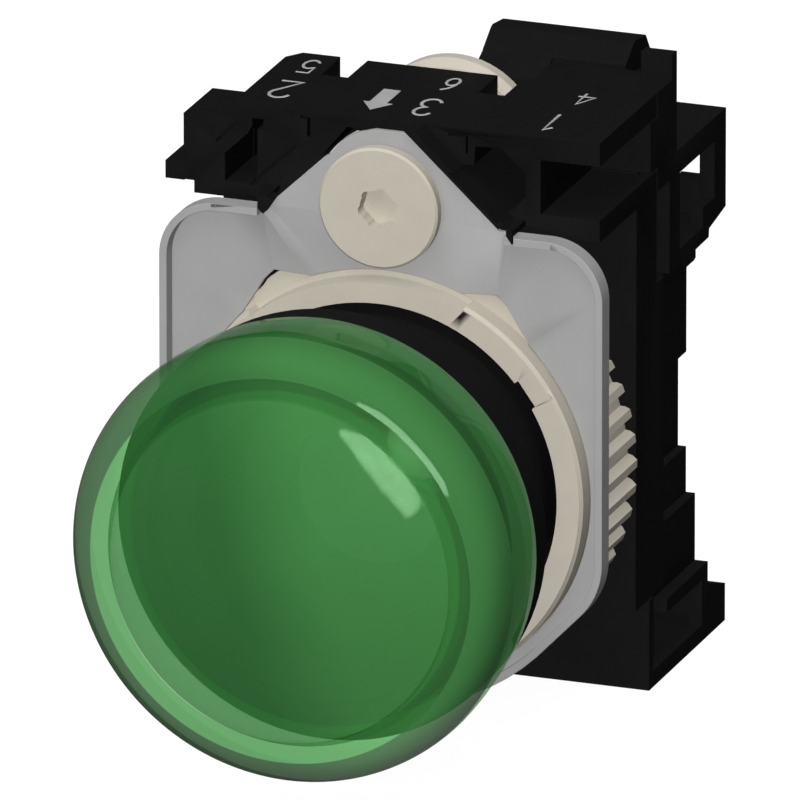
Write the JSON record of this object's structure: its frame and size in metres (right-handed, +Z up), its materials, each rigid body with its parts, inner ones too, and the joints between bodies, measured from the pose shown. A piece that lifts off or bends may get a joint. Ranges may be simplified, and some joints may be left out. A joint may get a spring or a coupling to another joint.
{
  "type": "panel pilot light",
  "caption": "Round green pilot light for a 22 mm panel hole, with locking ring, clamp plate, rear holder with clamp screw, and a clip-in module with screw terminals.",
  "frame": {"origin": "on the neck axis, in the plane of the flange's rear face, which rests on the front of the panel", "axes": "+Y along the neck to the rear of the panel, +Z up, +X to the right seen from the front"},
  "size_m": [0.0294, 0.045, 0.0403],
  "materials": {
    "black_plastic": "fine moulded texture",
    "green_lens": "clear gloss",
    "beige_plastic": "satin moulded",
    "plate_metal": "satin",
    "seal_rubber": "matte",
    "steel": "zinc plated",
    "cage_steel": "passivated",
    "brass": "stamped",
    "board_laminate": "solder mask",
    "led_body": "clear epoxy",
    "clear_guide": "polished acrylic",
    "resistor_body": "lacquered",
    "black_epoxy": "moulded epoxy"
  },
  "bodies": {
    "head": {"bezel": "black_plastic", "panel_seal": "seal_rubber", "lens_gasket": "seal_rubber"},
    "lens_cap": {"lens": "green_lens"},
    "holder": {"holder_frame": "black_plastic", "clamp_plate": "plate_metal", "guide_washer": "beige_plastic"},
    "ring": {"locking_ring": "beige_plastic"},
    "pad": {"pressure_pad": "beige_plastic"},
    "knob": {"clamp_knob": "beige_plastic", "clamp_spindle": "steel", "spindle_clip": "steel"},
    "module": {"module_housing": "black_plastic", "module_cover": "black_plastic", "latch_pin": "steel", "circuit_board": "board_laminate", "led": "led_body", "light_pipe": "clear_guide", "dropper_resistor": "resistor_body", "rectifier": "black_epoxy", "contact_strip_x1": "brass", "contact_strip_x2": "brass"},
    "latch": {"latch_clip": "black_plastic"},
    "screw_x1": {"terminal_screw_x1": "steel"},
    "clamp_x1": {"terminal_clamp_x1": "cage_steel"},
    "screw_x2": {"terminal_screw_x2": "steel"},
    "clamp_x2": {"terminal_clamp_x2": "cage_steel"}
  },
  "joints": [
    {"name": "lens_pull", "type": "slide", "parent": "head", "child": "lens_cap", "axis": [0, -1, 0], "range_m": [0, 0.015]},
    {"name": "holder_pull", "type": "slide", "parent": "head", "child": "holder", "axis": [0, 1, 0], "range_m": [0, 0.03]},
    {"name": "ring_turn", "type": "hinge", "parent": "holder", "child": "ring", "pos_m": [0, 0.011, 0], "axis": [0, 1, 0], "range_deg": [0, 30]},
    {"name": "knob_turn", "type": "hinge", "parent": "holder", "child": "knob", "pos_m": [0, 0.02, 0.01785], "axis": [0, -1, 0], "range_deg": [0, 2475]},
    {"name": "pad_press", "type": "slide", "parent": "holder", "child": "pad", "axis": [0, -1, 0], "range_m": [0, 0.0055]},
    {"name": "module_pull", "type": "slide", "parent": "holder", "child": "module", "axis": [0, 1, 0], "range_m": [0, 0.016]},
    {"name": "latch_lift", "type": "hinge", "parent": "module", "child": "latch", "pos_m": [0.0078, 0.0275, 0.02015], "axis": [-1, 0, 0], "range_deg": [0, 12], "stiffness_Nm_per_rad": 0.01},
    {"name": "screw_x1_turn", "type": "hinge", "parent": "module", "child": "screw_x1", "pos_m": [0.0086, 0.027, 0.0143], "axis": [0, -1, 0], "range_deg": [0, 1080]},
    {"name": "clamp_x1_close", "type": "slide", "parent": "module", "child": "clamp_x1", "axis": [0, 1, 0], "range_m": [0, 0.0015]},
    {"name": "screw_x2_turn", "type": "hinge", "parent": "module", "child": "screw_x2", "pos_m": [0.0086, 0.027, -0.0124], "axis": [0, -1, 0], "range_deg": [0, 1080]},
    {"name": "clamp_x2_close", "type": "slide", "parent": "module", "child": "clamp_x2", "axis": [0, 1, 0], "range_m": [0, 0.0015]}
  ],
  "couplings": [
    {"joint": "knob_turn", "follows": "pad_press", "rad_per_m": 7854},
    {"joint": "screw_x1_turn", "follows": "clamp_x1_close", "rad_per_m": 12566},
    {"joint": "screw_x2_turn", "follows": "clamp_x2_close", "rad_per_m": 12566}
  ]
}
